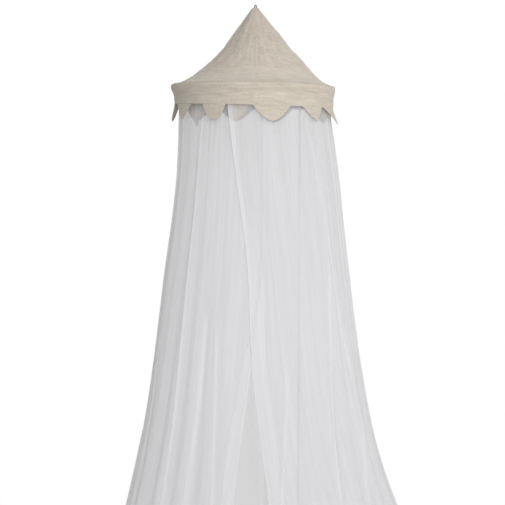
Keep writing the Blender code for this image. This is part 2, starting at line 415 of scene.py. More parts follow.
hoopPlan = {
    "radius": 0.244,  # to the middle of the tube
    "tube": 0.004,
    "drop": 0.249,
    "shift": -0.0075,  # it hangs a little to the left of the tip
    "tilt": 0.004,  # how much lower it hangs at the right
}
clothPlan = {
    "muslin": 0.0012,  # thickness
    "flap": 0.0016,
    "hoopGap": 0.0008,
    "wander": 0.006,  # how far the ridges wander up and down
    "patchMean": 0.65,  # their height, and how far it varies from patch to patch
    "patchRange": 0.5,
    # metres round, metres down and cells round the hoop, for each of the soft noises
    "swerve": (0.07, 0.05, 22),
    "wide": (0.12, 0.0076, 13),
    "fine": (0.052, 0.0042, 30),
    "patch": (0.13, 0.06, 12),
    "lowUpright": (0.014, 0.03, 110),
    "highUpright": (0.038, 0.024, 40),
    "tipUpright": (0.096, 0.04, 16),
    "coneUneven": (0.09, 0.055, 17),
    "bandUneven": (0.075, 0.045, 20),
}


def hoopDrop(angle):
    return hoopPlan["drop"] + hoopPlan["tilt"] * np.sin(np.radians(angle))


def onHoop(angle, wrap):
    # cloth that lies on the hoop, at an angle round its tube
    away = hoopPlan["tube"] + clothPlan["hoopGap"] + clothPlan["muslin"] / 2
    a = np.radians(wrap)
    radius = hoopPlan["radius"] + away * np.cos(a)
    return around(angle, radius, hoopDrop(angle) - away * np.sin(a), hoopPlan["shift"])


def hoopGirth(angle):
    # how far round the hoop an angle lies
    return 2 * math.pi * hoopPlan["radius"] * angle / 360


def clothNoise(name, girth, down, seed):
    across, deep, turn = clothPlan[name]
    return cloudNoise(girth / across, down / deep, seed, turn)


def crinkles(girth, down, seed):
    # irregular ridges that lie across the cloth, from -1 to 1
    swerve = clothPlan["wander"] * clothNoise("swerve", girth, down, seed + 1)
    wide = clothNoise("wide", girth, down + swerve, seed + 2)
    fine = clothNoise("fine", girth, down - swerve, seed + 3)
    patch = clothNoise("patch", girth, down, seed + 4)
    patch = clothPlan["patchMean"] + clothPlan["patchRange"] * patch
    return (0.5 * wide + 0.5 * fine) * patch


# cone

conePlan = {
    "columns": 400,
    "rows": 112,
    "profile": table(
        "drop left right",
        (0.0066, 0.0058, 0.0056),
        (0.0080, 0.0092, 0.0086),
        (0.0137, 0.0138, 0.0128),
        (0.024, 0.0210, 0.0205),
        (0.060, 0.046, 0.049),
        (0.097, 0.073, 0.080),
        (0.134, 0.100, 0.108),
        (0.170, 0.135, 0.142),
        (0.200, 0.171, 0.169),
        (0.218, 0.194, 0.186),
        (0.230, 0.217, 0.200),
        (0.237, 0.234, 0.211),
    ),
    "wrap": (105, 76, 47.8),  # degrees round the hoop's tube
    "folds": table(
        "angle height halfWidth",
        (-132, 0.0030, 24),
        (-74, 0.0024, 17),
        (-31, 0.0018, 13),
        (8, 0.0016, 12),
        (38, 0.0030, 14),
        (69, 0.0024, 12),
        (118, 0.0030, 22),
        (171, 0.0034, 26),
    ),
    "foldPower": 0.7,  # the folds are highest half way down
    "hoopStep": 0.007,  # between the rows on the hoop
    # heights and seeds of the ridges that lie across, of those that run down and of soft dents
    "crinkle": 0.0016,
    "upright": 0.0013,
    "uneven": 0.0012,
    "seeds": (20, 31, 37),
    # a span is where something sets in, along the slant from the tip, and its length
    "crinkleSpan": (0.06, 0.14),
    "uprightSpan": (0.2, 0.08),  # where the ridges that run down grow lower
    "uprightLoss": 0.75,
    "highMix": (0.03, 0.06),  # where they pass from the cells near the tip to the next
    "lowMix": (0.1, 0.1),  # and from those to the ones low down
    "unevenSpan": (0.02, 0.08),
    "tipCalm": (0.004, 0.03),
    "rimCalm": (0.012, 0.02),  # from the lower edge upwards
    "tipSpan": (0.1, 0.16),
    "tipPaintedShade": 0.16,  # painted shade: how much darker the cloth is painted above that span
    "lowSpan": (0.22, 0.06),
    "lowPaintedLight": 0.16,  # painted light: how much lighter it is painted below this one
}


def uprights(girth, down, seed):
    # short ridges that run down the cone, in cells that grow wider towards its lower edge
    wide = clothNoise("lowUpright", girth, down, seed + 1)
    high = clothNoise("highUpright", girth, down, seed + 2)
    tip = clothNoise("tipUpright", girth, down, seed + 3)
    low, top = fadeIn(down, conePlan["lowMix"]), 1 - fadeIn(down, conePlan["highMix"])
    return low * wide + (1 - low) * (1 - top) * high + top * tip


def makeCone(material):
    plan = conePlan
    levels = plan["profile"]
    angle = ringAngles(plan["columns"])
    # the rows are as far apart as the cloth is long, down to the hoop
    middle = np.stack((levels["left"] + levels["right"], 2 * levels["drop"]), 1) / 2
    reach = np.append(0, np.cumsum(np.linalg.norm(np.diff(middle, axis=0), axis=1)))
    drop = np.interp(np.linspace(0, reach[-1], plan["rows"]), reach, levels["drop"])[:, None]
    fade = np.sin(np.pi * np.minimum(1, drop / hoopPlan["drop"])) ** plan["foldPower"]
    folds = zip(*plan["folds"].values())
    lift = sum(height * crest(apart(angle, at) / half) for at, height, half in folds)
    body = around(angle, profileRadius(levels, angle, drop) + lift * fade, drop)
    rim = [onHoop(angle, wrap) for wrap in plan["wrap"]]
    points = np.concatenate([body, *rim], 0)
    down = np.linspace(0, reach[-1], plan["rows"])
    down = np.append(down, down[-1] + plan["hoopStep"] * np.arange(1, len(rim) + 1))[:, None]
    down, girth = np.broadcast_arrays(down, hoopGirth(angle))
    calm = fadeIn(down, plan["tipCalm"]) * fadeIn(down[-1, 0] - down, plan["rimCalm"])
    across, upright, rest = plan["seeds"]
    lying = crinkles(girth, down, across) * fadeIn(down, plan["crinkleSpan"])
    standing = uprights(girth, down, upright)
    standing = standing * (1 - plan["uprightLoss"] * fadeIn(down, plan["uprightSpan"]))
    uneven = clothNoise("coneUneven", girth, down, rest) * fadeIn(down, plan["unevenSpan"])
    ridge = plan["crinkle"] * lying + plan["upright"] * standing + plan["uneven"] * uneven
    points = lifted(points, ridge * calm)
    # painted shade near the tip, and painted light low on the cone where its slope faces up
    edge = plan["tipPaintedShade"] * (1 - fadeIn(down, plan["tipSpan"]))
    edge = edge - plan["lowPaintedLight"] * fadeIn(down, plan["lowSpan"])
    # the ridges' heights, for painted light on their tops and painted shade in their hollows
    crease = np.clip(0.7 * (lying + standing), -1, 1) * calm
    cone = gridPiece("cone_cloth", points, girth, down, material, True, crease=crease, edge=edge)
    cone = thicken(cone, clothPlan["muslin"])
    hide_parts("cone_top")
    return cone, points


# band

bandPlan = {
    "columns": 560,
    "rows": 60,
    "depth": 0.0572,
    "tilt": 0.0025,  # how much deeper it is at the right
    "sag": 0.0065,  # how much deeper it is in front
    "wrap": (40.2, 18),  # degrees round the hoop's tube
    "hoopRows": (0, 0.004, 0.007),  # how far down the cloth these rows and the first one below lie
    "profile": table(
        "share left right",
        (0.07, 0.2494, 0.2494),
        (0.21, 0.2472, 0.2486),
        (0.38, 0.2422, 0.2450),
        (0.67, 0.2392, 0.2428),
        (1.00, 0.2386, 0.2424),
    ),
    "crinkle": 0.0018,
    "uneven": 0.0012,
    "seeds": (50, 57),
    "topCalm": (0.005, 0.012),
    "lowCalm": (-0.004, 0.01),  # from the lower edge upwards
    "topPaintedShade": 0.12,  # painted shade in the crease along the upper edge, by the cone's seam
    "topReach": 0.012,
    "seamPaintedShadow": 0.6,  # painted shadow under the band's lower edge, over the flaps' seam, at the left
    "seamSide": (0.35, 0.35),  # how far left that sets in, as a share of the radius
    "seamReach": 0.003,
}


def bandDepth(angle):
    a = np.radians(angle)
    return bandPlan["depth"] + bandPlan["tilt"] * np.sin(a) + bandPlan["sag"] * np.cos(a)


def makeBand(material):
    plan = bandPlan
    angle = ringAngles(plan["columns"])
    share = np.linspace(plan["profile"]["share"][0], 1, plan["rows"])[:, None]
    drop = hoopDrop(angle) + bandDepth(angle) * share
    body = around(angle, profileRadius(plan["profile"], angle, share), drop, hoopPlan["shift"])
    points = np.concatenate([onHoop(angle, wrap) for wrap in plan["wrap"]] + [body], 0)
    *onTube, below = plan["hoopRows"]
    down = np.append(onTube, below + (share[:, 0] - share[0, 0]) * plan["depth"])[:, None]
    down, girth = np.broadcast_arrays(down, hoopGirth(angle))
    up = down[-1, 0] - down
    calm = fadeIn(down, plan["topCalm"]) * fadeIn(up, plan["lowCalm"])
    across, rest = plan["seeds"]
    lying = crinkles(girth, down, across)
    ridge = plan["crinkle"] * lying + plan["uneven"] * clothNoise("bandUneven", girth, down, rest)
    points = lifted(points, ridge * calm)
    # painted shadow under the band's lower edge, growing towards the left
    seam = plan["seamPaintedShadow"] * fadeIn(-np.sin(np.radians(angle)), plan["seamSide"])
    # painted shade in the crease along the upper edge, then the painted shadow under the lower edge
    edge = plan["topPaintedShade"] * smooth(1 - down / plan["topReach"])
    edge = edge + seam * smooth(1 - up / plan["seamReach"])
    # the ridges' heights, for painted light on their tops and painted shade in their hollows
    crease = np.clip(lying, -1, 1) * calm
    band = gridPiece("band_cloth", points, girth, down, material, True, crease=crease, edge=edge)
    band = thicken(band, clothPlan["muslin"])
    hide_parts("band")
    return band, points


# flaps

flapPlan = {
    "columns": 64,
    "rows": 30,
    "sewnGap": 0.0001,  # below the band
    "side": 0.002,  # the least depth
    "flarePower": 1.3,
    "crinkle": 0.0005,
    "seed": 80,
    "mapStart": 0.075,  # the cloth's noises go on from the band's
    "edgeRadius": 0.24,  # for measuring how far a point is from the flap's edge
    "edgeCalm": 0.006,
    "topCalm": 0.004,
    "pucker": 0.0003,  # the height of the puckers along the turned edge
    "puckerPitch": 0.0075,
    "puckerReach": 0.007,
    "puckerTop": 0.006,
    "edgeTone": 0.2,  # painted shade along the turned edge: how dark it is
    "edgeReach": 0.003,
    "stitchInset": 0.0045,
    "stitchLeast": 0.006,  # the least depth of the flap that counts for it
    "stitchEnds": 3,  # columns without stitches at either side
    # degrees and metres: flare is how far the tip stands out, lean how much more its right side
    # does, and inset how far behind the band's edge it is sewn. The power makes it round or
    # pointed, and the skew sets its tip off the middle, as a share of the half width. Pale is
    # painted light: how much lighter its cloth is painted, where little light gets behind the net.
    "shapes": table(
        "angle halfWidth depth flare lean inset power skew pale",
        (13.4, 13.6, 0.0460, 0.004, 0.000, 0, 1.7, 0.0, 0),
        (47.2, 10.2, 0.0420, 0.005, -0.002, 0, 1.25, 0.34, 0),
        (77.5, 17.5, 0.0490, 0.015, 0.004, 0, 0.90, 0.34, 0),
        (119.0, 14.4, 0.0430, 0.007, 0.000, 0, 1.5, -0.06, 0),
        (163.5, 14.0, 0.0420, 0.005, 0.002, 0, 1.6, 0.04, 0),
        (193.0, 14.4, 0.0420, 0.005, -0.002, 0, 1.45, 0.0, 0),
        (226.0, 14.2, 0.0480, 0.006, 0.000, 0, 1.5, 0.05, 0),
        (266.0, 13.0, 0.0505, 0.009, 0.003, 0, 1.9, -0.05, 0),
        (298.9, 10.8, 0.0475, 0.005, 0.003, 0, 1.25, 0.05, 0),
        (309.8, 8.2, 0.0880, 0.000, 0.000, 0.0206, 1.5, -0.08, 0.6),
        (330.9, 9.2, 0.0460, 0.005, 0.002, 0, 2.5, 0.1, 0),
        (350.0, 9.8, 0.0626, 0.0025, 0.000, 0.0142, 1.4, -0.4, 0.1),
    ),
}


def makeFlap(number, angle, halfWidth, depth, flare, lean, inset, power, skew, pale, material):
    plan = flapPlan
    across = np.linspace(-1, 1, plan["columns"])[None]
    share = np.linspace(0, 1, plan["rows"])[:, None]
    side = np.where(across < skew, (skew - across) / (1 + skew), (across - skew) / (1 - skew))
    height = np.maximum(plan["side"], depth * (1 - side**power))
    below = height * share
    at = angle + across * halfWidth
    top = hoopDrop(at) + bandDepth(at) + plan["sewnGap"] - inset
    out = (flare + lean * across) * (below / depth) ** plan["flarePower"] - inset
    bandEdge = profileRadius(bandPlan["profile"], at, 1.0)
    points = around(at, bandEdge + out, top + below, hoopPlan["shift"])
    girth = hoopGirth(at) + 0 * share
    down = plan["mapStart"] + below
    reach = math.radians(halfWidth) * plan["edgeRadius"]
    toEdge = np.minimum(height - below, (1 - np.abs(across)) * reach)
    calm = smooth(toEdge / plan["edgeCalm"]) * smooth(below / plan["topCalm"])
    ridge = plan["crinkle"] * crinkles(girth, down, plan["seed"] + number)
    wave = np.sin(girth / plan["puckerPitch"] * 2 * math.pi) * smooth(1 - toEdge / plan["puckerReach"])
    pucker = plan["pucker"] * wave * smooth(below / plan["puckerTop"])
    normals = outwards(points)
    points = points + normals * (ridge * calm + pucker)[..., None]
    # painted shade along the turned edge, less the painted light of the tucked flaps
    edge = plan["edgeTone"] * smooth(1 - toEdge / plan["edgeReach"]) - pale
    # the ridges' heights, for painted light on their tops and painted shade in their hollows
    crease = np.clip(ridge / plan["crinkle"], -1, 1) * calm
    name = f"flap_cloth_{number:02d}"
    flap = gridPiece(name, points, girth, down, material, crease=crease, edge=edge)
    flap = thicken(flap, clothPlan["flap"])
    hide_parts(f"flap_{number:02d}")
    width = 2 * math.radians(halfWidth) * hoopPlan["radius"]
    cut = width * depth * (1 - 1 / (1 + power))
    # the stitching runs along the turned edge, on the outer side
    seam = 1 - plan["stitchInset"] / np.maximum(height[0], plan["stitchLeast"])
    rows = np.rint(seam * (plan["rows"] - 1)).astype(int)
    kept = range(plan["stitchEnds"], plan["columns"] - plan["stitchEnds"])
    line = [points[rows[i], i] + normals[rows[i], i] * (clothPlan["flap"] / 2) for i in kept]
    return flap, line


# net: white tulle, gathered under the hoop

netPlan = {
    "columns": 600,
    "rows": 146,
    "turnedColumns": 8,
    "turnGap": 0.0016,  # between the cloth and the edge turned in behind it
    "hemDepth": 0.014,
    "outline": table(
        "drop left right front back",
        (0.262, 0.2400, 0.2310, 0.2290, 0.2360),
        (0.275, 0.2365, 0.2284, 0.2245, 0.2335),
        (0.295, 0.2335, 0.2272, 0.2216, 0.2318),
        (0.320, 0.2322, 0.2274, 0.2214, 0.2310),
        (0.356, 0.2325, 0.2304, 0.2240, 0.2320),
        (0.425, 0.2335, 0.2405, 0.2335, 0.2390),
        (0.530, 0.2385, 0.2540, 0.2460, 0.2480),
        (0.660, 0.2520, 0.2660, 0.2585, 0.2600),
        (0.800, 0.2700, 0.2800, 0.2745, 0.2740),
        (0.950, 0.2870, 0.2960, 0.2905, 0.2890),
        (1.100, 0.3050, 0.3160, 0.3070, 0.3060),
        (1.240, 0.3240, 0.3400, 0.3245, 0.3260),
        (1.370, 0.3490, 0.3700, 0.3450, 0.3480),
        (1.470, 0.3700, 0.4020, 0.3640, 0.3680),
        (1.560, 0.3920, 0.4360, 0.3860, 0.3900),
        (1.650, 0.4160, 0.4700, 0.4100, 0.4120),
    ),
    # the right panel laps over the left one, outside it by the lap, and lower down they part
    "parting": table(
        "drop left right lap leftTurn rightTurn",
        (0.262, 6.5, -21.4, 0.0090, 0.010, 0.014),
        (0.310, 6.2, -20.8, 0.0120, 0.010, 0.016),
        (0.400, 5.8, -17.6, 0.0085, 0.010, 0.022),
        (0.550, 5.2, -12.3, 0.0045, 0.011, 0.032),
        (0.710, 4.6, -6.7, 0.0036, 0.012, 0.042),
        (0.840, 3.2, -4.0, 0.0034, 0.013, 0.044),
        (1.000, -0.6, -2.9, 0.0034, 0.018, 0.043),
        (1.110, -3.4, -1.4, 0.0034, 0.029, 0.044),
        (1.240, -6.2, 1.4, 0.0034, 0.035, 0.045),
        (1.370, -8.9, 4.2, 0.0030, 0.038, 0.047),
        (1.520, -10.7, 7.2, 0.0020, 0.040, 0.048),
        (1.650, -12.2, 9.4, 0.0, 0.042, 0.049),
    ),
    "lapReach": 95,  # degrees over which the right panel comes in to the common outline
    "folds": table(
        "top hem height halfWidth",
        (-19, -15, 0.006, 6), (-27, -24, 0.013, 6), (-33, -37, 0.018, 7.5),
        (-42, -50, 0.02, 7), (-54, -65, 0.015, 8), (-69, -80, 0.021, 9),
        (-86, -97, 0.018, 9.5), (-104, -113, 0.023, 9), (-121, -130, 0.019, 9.5),
        (-138, -145, 0.024, 8.5), (-153, -160, 0.018, 8), (-168, -175, 0.022, 8.5),
        (-184, -190, 0.017, 7.5), (-199, -204, 0.023, 7.5), (-214, -217, 0.018, 7),
        (-228, -229, 0.021, 7), (-242, -243, 0.018, 8), (-258, -260, 0.024, 9.5),
        (-276, -280, 0.018, 9), (-292, -297, 0.022, 8), (-307, -311, 0.017, 7),
        (-319, -323, 0.021, 7), (-332, -334, 0.016, 6.5), (-343, -345, 0.011, 5.5),
    ),
    "foldTopShare": 0.13,  # of their height at the hem
    "foldGrowth": 1.15,
    "gathers": 84,  # round the hoop
    "gatherSwerve": 2.4,  # degrees
    "gatherDepth": 0.003,  # inwards, under the hoop
    "gatherEven": 0.7,  # the share of it that is the same all round
    "gatherFade": 0.26,
    "gatherSpan": (18, 16),  # degrees from the right panel's edge over which they grow
    "edgeGathers": 0.35,  # and their share of the depth before that
    "ripple": 0.0011,
    "rippleStart": 0.15,  # the share of the height over which they set in
    # degrees round, metres down and seed of what makes the folds uneven
    "noises": {"swerve": (12, 0.9, 5), "depth": (9, 0.6, 6), "ripple": (4.5, 0.8, 7)},
    # threads are lit from all sides, so the net shades less than solid cloth does
    "foldShade": 0.42,
    "flatter": 0.42,
    "seamSide": 0.139,  # how far to the right of the middle the back seam hangs
    "seamWidth": 0.0035,
    "seamBright": 1.3,
    # a span is the drop where something sets in, and the length over which it does
    "edgeSpan": (0.55, 0.4),  # the turned edges' double cloth
    "edgeFaint": 0.2,  # its strength above that
    "edgeBlur": 0.4,  # degrees
    "narrowSpan": (0.01, 0.004),  # from the free edge, where it shows all the way up
    "hemBlur": 0.002,
    "freeWidth": 0.003,
    "freeBright": 0.6,
    "freeSpan": (0.9, 0.2),
    "freeLoss": 0.3,  # how much less bright it is below that
    "lapBlur": 1.5,  # degrees
    "whiteSpan": (0.29, 0.08),
    "topPaintedLight": 0.4,  # painted light on the net's top, in the shade under the band and flaps, above that
    # the net greys towards the hem over this span
    "hemGreySpan": (0.95, 0.6),
    "sideSpan": (0.6, 0.25),
    "sidePaintedShade": 0.7,  # painted shade of a fold's trough, left of the parting, this many degrees round and to either side
    "sideMiddle": -28,
    "sideWidth": 20,
    # narrow pinched folds, which show as fine bright lines
    "pleatEnds": 0.12,  # the length over which they set in and end
    "pleatGlow": 1.3,  # how much wider the bright line is
    "pleats": table(
        "firstDrop lastDrop firstAngle lastAngle width height bright",
        (0.31, 1.80, -44, -47.5, 0.011, 0.0035, 0.70),
        (0.88, 1.80, -30, -35.0, 0.025, 0.0035, 0.60),
        (0.93, 1.80, -23, -18.6, 0.010, 0.0025, 0.50),
        (1.05, 1.55, 17.5, 10.5, 0.010, 0.0025, 0.55),
        (0.74, 1.80, 51, 33, 0.013, 0.0025, 0.40),
        (0.36, 1.15, 43, 63, 0.017, 0.0022, 0.35),
        (1.20, 1.80, 64, 49, 0.017, 0.0025, 0.40),
        (0.31, 1.05, 57, 59, 0.010, 0.0015, 0.30),
        (0.33, 1.30, 66, 67, 0.012, 0.0020, 0.35),
        (0.31, 1.10, 74, 80, 0.012, 0.0025, 0.45),
        (0.50, 1.80, -74, -84, 0.013, 0.0035, 0.40),
        (0.31, 1.30, 112, 106, 0.012, 0.0030, 0.40),
        (0.90, 1.80, 131, 138, 0.015, 0.0035, 0.45),
        (0.40, 1.80, 171, 176, 0.011, 0.0030, 0.45),
        (0.31, 1.80, 208, 204, 0.012, 0.0030, 0.45),
        (0.80, 1.80, 233, 239, 0.016, 0.0035, 0.45),
        (0.31, 1.40, 254, 249, 0.011, 0.0030, 0.40),
    ),
}


def netNoise(name, angle, drop):
    across, down, seed = netPlan["noises"][name]
    return cloudNoise(angle / across, drop / down, seed, round(360 / across))


def netRadius(angle, drop, calm=1.0):
    plan = netPlan
    outline = plan["outline"]
    across, ahead = np.sin(np.radians(angle)), np.cos(np.radians(angle))
    sides = {"right": across, "left": -across, "front": ahead, "back": -ahead}
    radius = sum(
        np.maximum(0, share) ** 2 * along(outline["drop"], outline[side], drop)
        for side, share in sides.items()
    )
    top, hem = outline["drop"][0], outline["drop"][-1]
    share = (drop - top) / (hem - top)
    growth = plan["foldTopShare"] + (1 - plan["foldTopShare"]) * share ** plan["foldGrowth"]
    for first, last, height, half in zip(*plan["folds"].values()):
        middle = first + (last - first) * smooth(share)
        radius = radius + height * growth * crest(apart(angle, middle) / half)
    # fine gathers, which fade away down the net, and long soft ripples
    uneven = angle + plan["gatherSwerve"] * netNoise("swerve", angle, drop)
    wave = 0.5 - 0.5 * np.cos(np.radians(uneven) * plan["gathers"])
    even = plan["gatherEven"]
    deep = plan["gatherDepth"] * (even + (1 - even) * netNoise("depth", angle, drop))
    fade = np.exp(-(drop - top) / plan["gatherFade"])
    ripple = netNoise("ripple", angle, drop) * smooth(share / plan["rippleStart"])
    return radius - deep * fade * wave * calm - plan["ripple"] * (1 + ripple)


def pleatLines(angle, drop, radius):
    # how much each point is on a pinched fold, and how far that lifts it
    bright, lift = 0 * angle * drop, 0 * angle * drop
    for first, last, start, end, width, height, shine in zip(*netPlan["pleats"].values()):
        share = (drop - first) / (last - first)
        middle = start + (end - start) * np.clip(share, 0, 1)
        ends = netPlan["pleatEnds"]
        reach = smooth((drop - first) / ends) * smooth((last - drop) / ends)
        off = apart(angle, middle) * np.radians(1) * radius / (width / 2)
        bright = np.maximum(bright, shine * reach * crest(off / netPlan["pleatGlow"]))
        lift = lift + height * reach * crest(off)
    return bright, lift


def fineLine(off, width):
    # 1 on a line, and 0 a little more than its width away
    return smooth(1.4 - off / width)


def softenFolds(net, points, turned):
    # normals between those of the folds and those of a flatter outline
    facing = np.arctan2(points[..., 0], -points[..., 1])
    facing = facing - netPlan["flatter"] * np.sin(2 * facing)
    plain = np.stack((np.sin(facing), -np.cos(facing), 0 * facing), -1)
    own = outwards(points)
    own = own * np.where(np.sum(own * plain, -1, keepdims=True) < 0, -1, 1)
    normals = plain + (own - plain) * netPlan["foldShade"]
    normals = normals / np.linalg.norm(normals, axis=-1, keepdims=True)
    normals = normals * np.where(turned, -1, 1)[..., None]
    net.data.normals_split_custom_set_from_vertices(normals.reshape(-1, 3).tolist())


def makeNet(material):
    plan = netPlan
    top, hem = plan["outline"]["drop"][[0, -1]]
    # the last two rows carry the hem up again behind the cloth
    rows = np.linspace(top, hem, plan["rows"])
    drop = np.append(rows, [hem - 0.0002, hem - plan["hemDepth"]])[:, None]
    behind = np.where(np.arange(len(drop)) < plan["rows"], 0, plan["turnGap"])[:, None]
    places, *rest = plan["parting"].values()
    left, right, lap, leftTurn, rightTurn = (along(places, values, drop) for values in rest)
    # degrees gone round from the right panel's edge: turned edge, cloth, turned edge
    turn = 360 + left - right
    across = np.linspace(0, 1, plan["columns"])[None]
    back = np.linspace(0, 1, plan["turnedColumns"])[None]
    edgeRadius = netRadius(right, drop)
    rightWidth = np.degrees(rightTurn / edgeRadius)
    leftWidth = np.degrees(leftTurn / edgeRadius)
    gone = np.concatenate((rightWidth * (1 - back), turn * across, turn - leftWidth * back), 1)
    layer = np.concatenate((1 + 0 * back, 0 * across, 1 + 0 * back), 1)
    angle = right + gone
    outside = lap * (1 - smooth(gone / plan["lapReach"]))
    calm = plan["edgeGathers"] + (1 - plan["edgeGathers"]) * fadeIn(gone, plan["gatherSpan"])
    radius = netRadius(angle, drop, calm)
    bright, lift = pleatLines(angle, drop, radius)
    radius = radius + outside + lift - plan["turnGap"] * layer - behind
    points = around(angle, radius, drop + 0 * angle)
    steps = np.linalg.norm(np.diff(points, axis=1), axis=2)
    girth = np.concatenate((0 * drop, np.cumsum(steps, 1)), 1)
    spread = girth / girth[:, -1:] * girth[plan["rows"] - 1, -1]
    # the turned edges show less high up, apart from a narrow line beside the free edge
    blur = plan["edgeBlur"]
    onEdges = np.maximum(smooth((rightWidth - gone) / blur), smooth((gone - turn + leftWidth) / blur))
    edgeGap = np.minimum(gone, turn - gone) * np.radians(1) * radius
    narrow = 1 - fadeIn(edgeGap, plan["narrowSpan"])
    strength = np.maximum(narrow, fadeIn(drop, plan["edgeSpan"]))
    onEdges = onEdges * (plan["edgeFaint"] + (1 - plan["edgeFaint"]) * strength)
    onHem = smooth((drop - hem + plan["hemDepth"]) / plan["hemBlur"])
    double = np.maximum(onEdges, onHem + 0 * gone)
    # fine lines: pinched folds, the back seam and the free edges
    seamAngle = 180 - np.degrees(np.arcsin(plan["seamSide"] / radius))
    off = np.abs(apart(angle, seamAngle)) * np.radians(1) * radius
    seam = plan["seamBright"] * fineLine(off, plan["seamWidth"])
    free = plan["freeBright"] - plan["freeLoss"] * fadeIn(drop, plan["freeSpan"])
    free = free * fineLine(edgeGap, plan["freeWidth"])
    fold = np.maximum(np.maximum(bright, seam), free)
    # painted light lifts the cloth where one panel lies over the other, and at the top where the band
    # and flaps shade it; it is greyer towards the hem, and painted shade greys a fold left of the
    # parting
    lapped, blur = left - right, plan["lapBlur"]
    over = np.maximum(smooth((lapped - gone) / blur), smooth((gone - turn + lapped) / blur))
    topLight = plan["topPaintedLight"] * (1 - fadeIn(drop, plan["whiteSpan"]))
    paintedLight = np.maximum(over, topLight + 0 * gone)
    # painted shade in a broad fold's trough, left of the parting
    side = crest(apart(angle, plan["sideMiddle"]) / plan["sideWidth"])
    side = plan["sidePaintedShade"] * fadeIn(drop, plan["sideSpan"]) * side
    greyer = fadeIn(drop, plan["hemGreySpan"]) + side
    values = {"double": double, "fold": fold, "paintedLight": paintedLight, "greyer": greyer}
    net = gridPiece("net_cloth", points, spread, drop + 0 * angle, material, **values)
    softenFolds(net, points, layer + (behind > 0) == 1)
    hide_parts("net")
    return net, points


netLook = {
    "light": (0.97, 0.97, 0.985, 1),
    "dark": (0.665, 0.663, 0.686, 1),
    "alpha": 0.585,
    "bright": 0.365,  # from dark to light
    "streaks": ((0.018, 0.6, 2, 0.6), (0.06, 0.9, 1, 0.4)),  # metres across and down, detail, share
    "streakAlpha": 0.12,
    "streakBright": 0.4,
    "mesh": 0.0022,  # one hole and the thread round it
    "threadAlpha": 0.1,
    "mostAlpha": 0.97,
    "bumpHeight": 0.0015,
    # what each of the cloth's attributes adds to its alpha and to its brightness
    "double": (0.11, 0.33),
    "fold": (0.3, 0.4),
    # painted light where one panel lies over the other, and at the top in the shade under the band and
    # flaps
    "paintedLight": (-0.22, 0.175),
    # greyer towards the hem, and painted shade in a fold's trough left of the parting
    "greyer": (0, -0.11),
}


def netMaterial():
    plan = netLook
    material, shader, start = newMaterial("tulle", {"Roughness": 0.8, "Sheen Weight": 1.0})
    streaks = sum(noiseOn(start, *cells) * share for *cells, share in plan["streaks"])
    spot = stretched(start, plan["mesh"], plan["mesh"])
    settings = {"voronoi_dimensions": "2D", "feature": "DISTANCE_TO_EDGE"}
    sockets = {"Vector": spot, "Scale": 1.0, "Randomness": 0.25}
    holes = start.node("ShaderNodeTexVoronoi", settings, sockets)
    threads = 1 - holes.math("MINIMUM", holes * 4, 1)
    alpha = plan["alpha"] + (streaks - 0.5) * plan["streakAlpha"]
    alpha = alpha + (threads - 0.4) * plan["threadAlpha"]
    bright = plan["bright"] + (streaks - 0.5) * plan["streakBright"]
    for name in ("double", "fold", "paintedLight", "greyer"):
        alphaShare, brightShare = plan[name]
        alpha = alpha + attribute(start, name) * alphaShare
        bright = bright + attribute(start, name) * brightShare
    feed(shader, "Alpha", alpha.math("MINIMUM", alpha, plan["mostAlpha"]))
    feedColour(shader, bright, plan)
    feedBump(shader, 0.3, plan["bumpHeight"], streaks + threads * 0.05)
    return material


# hanging loop: three strands laid into a cord

loopPlan = {
    "outline": [
        (-0.0015, 0.0), (-0.0009, 0.0025), (0.0007, 0.0049), (0.0030, 0.0055), (0.0056, 0.0044),
        (0.0080, 0.0024), (0.0105, 0.0021), (0.0190, 0.0021), (0.0206, 0.0015), (0.0212, 0.0),
    ],  # drop and half width of the cord's middle
    "turn": 60,  # degrees from facing the front
    "strands": 3,
    # radius of a strand, distance from the cord's middle to a strand's, turns and steps
    "sizes": {"Strand": 0.00085, "Lay": 0.00075, "Turns": 11.0, "Steps": 220},
    "dark": (0.06, 0.055, 0.048, 1),
    "light": (0.14, 0.13, 0.115, 1),
}


def geometryTree(name, inputs):
    # a tree with a geometry in and out, and named inputs for its sizes
    tree = bpy.data.node_groups.new(name, "GeometryNodeTree")
    for side in ("OUTPUT", "INPUT"):
        tree.interface.new_socket("Geometry", in_out=side, socket_type="NodeSocketGeometry")
    for label, value in inputs.items():
        kind = "NodeSocketInt" if isinstance(value, int) else "NodeSocketFloat"
        socket = tree.interface.new_socket(label, in_out="INPUT", socket_type=kind)
        socket.default_value = value
    start = tree.nodes.new("NodeGroupInput")
    return tree, {item.name: Wire(tree, item) for item in start.outputs if item.name}


def closeTree(tree, shape, material):
    shape = shape.node("GeometryNodeRealizeInstances", None, {0: shape})
    shape = shape.node("GeometryNodeSetMaterial", None, {0: shape, "Material": material})
    end = tree.nodes.new("NodeGroupOutput")
    tree.links.new(shape.socket, end.inputs[0])


def runTree(piece, tree, sizes):
    modifier = piece.modifiers.new(tree.name, "NODES")
    modifier.node_group = tree
    for item in tree.interface.items_tree:
        if item.in_out == "INPUT" and item.name in sizes:
            modifier[item.identifier] = sizes[item.name]
    return plainMesh(piece)


